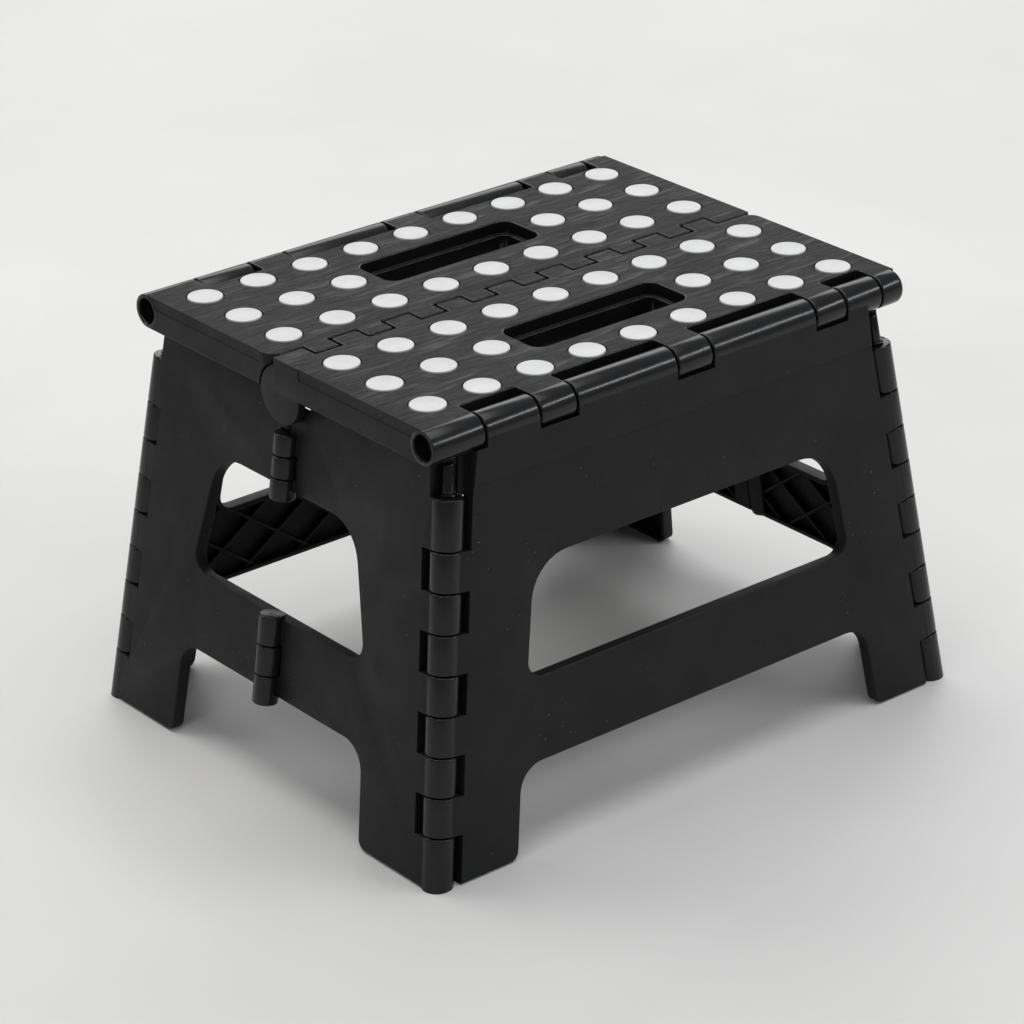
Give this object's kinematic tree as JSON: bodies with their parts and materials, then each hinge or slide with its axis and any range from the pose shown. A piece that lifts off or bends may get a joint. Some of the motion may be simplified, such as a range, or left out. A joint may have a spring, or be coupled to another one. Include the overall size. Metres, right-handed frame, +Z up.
{
  "type": "folding step stool",
  "caption": "Low folding step stool: a hinged deck with raised grip dots and hand slots, on four leaning panels hinged at the corners, with the end panels folding inward.",
  "frame": {"origin": "on the floor, under the middle of the open stool", "axes": "+X along the stool's length, -Y the front, +Z up"},
  "size_m": [0.3332, 0.2654, 0.2177],
  "materials": {
    "side_plastic": "stippled matte black",
    "deck_plastic": "dark grey with a fine grain",
    "dot_rubber": "white soft plastic",
    "pin_steel": "plain drawn wire",
    "pin_black": "glossy black"
  },
  "bodies": {
    "rear_panel": {"rear_panel": "side_plastic", "rear_edge_pin": "pin_steel", "rear_left_corner_pin": "pin_black", "rear_right_corner_pin": "pin_black"},
    "front_panel": {"front_panel": "side_plastic", "front_edge_pin": "pin_steel", "front_left_corner_pin": "pin_black", "front_right_corner_pin": "pin_black"},
    "rear_deck": {"rear_deck": "deck_plastic", "rear_dots_inner": "dot_rubber", "rear_dots_middle_left": "dot_rubber", "rear_dots_middle_right": "dot_rubber", "rear_dots_outer": "dot_rubber", "deck_centre_pin": "pin_steel"},
    "front_deck": {"front_deck": "deck_plastic", "front_dots_inner": "dot_rubber", "front_dots_middle_left": "dot_rubber", "front_dots_middle_right": "dot_rubber", "front_dots_outer": "dot_rubber"},
    "left_rear_end": {"left_rear_end": "side_plastic"},
    "left_front_end": {"left_front_end": "side_plastic", "left_upper_fold_pin": "pin_steel", "left_lower_fold_pin": "pin_steel"},
    "right_rear_end": {"right_rear_end": "side_plastic"},
    "right_front_end": {"right_front_end": "side_plastic", "right_upper_fold_pin": "pin_steel", "right_lower_fold_pin": "pin_steel"}
  },
  "joints": [
    {"name": "left_rear_corner", "type": "hinge", "parent": "rear_panel", "child": "left_rear_end", "pos_m": [-0.13146, 0.10757, 0.1817], "axis": [0.1399, -0.0956, 0.9855], "range_deg": [0, 90]},
    {"name": "left_fold", "type": "hinge", "parent": "left_rear_end", "child": "left_front_end", "pos_m": [-0.14482, 0, 0.15], "axis": [-0.1481, 0, -0.989], "range_deg": [0, 178.8]},
    {"name": "left_front_corner", "type": "hinge", "parent": "left_front_end", "child": "front_panel", "pos_m": [-0.13146, -0.10757, 0.1817], "axis": [0.1399, 0.0956, 0.9855], "range_deg": [0, 90.3]},
    {"name": "right_front_corner", "type": "hinge", "parent": "front_panel", "child": "right_front_end", "pos_m": [0.13146, -0.10757, 0.1817], "axis": [-0.1399, 0.0956, 0.9855], "range_deg": [0, 90.3]},
    {"name": "right_rear_corner", "type": "hinge", "parent": "rear_panel", "child": "right_rear_end", "pos_m": [0.13146, 0.10757, 0.1817], "axis": [0.1399, 0.0956, -0.9855], "range_deg": [0, 90.3]},
    {"name": "rear_edge", "type": "hinge", "parent": "rear_panel", "child": "rear_deck", "pos_m": [0, 0.1062, 0.2082], "axis": [-1, 0, 0], "range_deg": [0, 86.94]},
    {"name": "deck_centre", "type": "hinge", "parent": "rear_deck", "child": "front_deck", "pos_m": [0, 0, 0.19895], "axis": [1, 0, 0], "range_deg": [0, 179]}
  ],
  "couplings": [
    {"joint": "left_fold", "follows": "left_rear_corner", "ratio": 1.9833},
    {"joint": "left_front_corner", "follows": "left_rear_corner", "ratio": 1},
    {"joint": "right_front_corner", "follows": "left_rear_corner", "ratio": 1},
    {"joint": "right_rear_corner", "follows": "left_rear_corner", "ratio": 1},
    {"joint": "rear_edge", "follows": "left_rear_corner", "ratio": 0.96267},
    {"joint": "deck_centre", "follows": "left_rear_corner", "ratio": 1.9855}
  ]
}
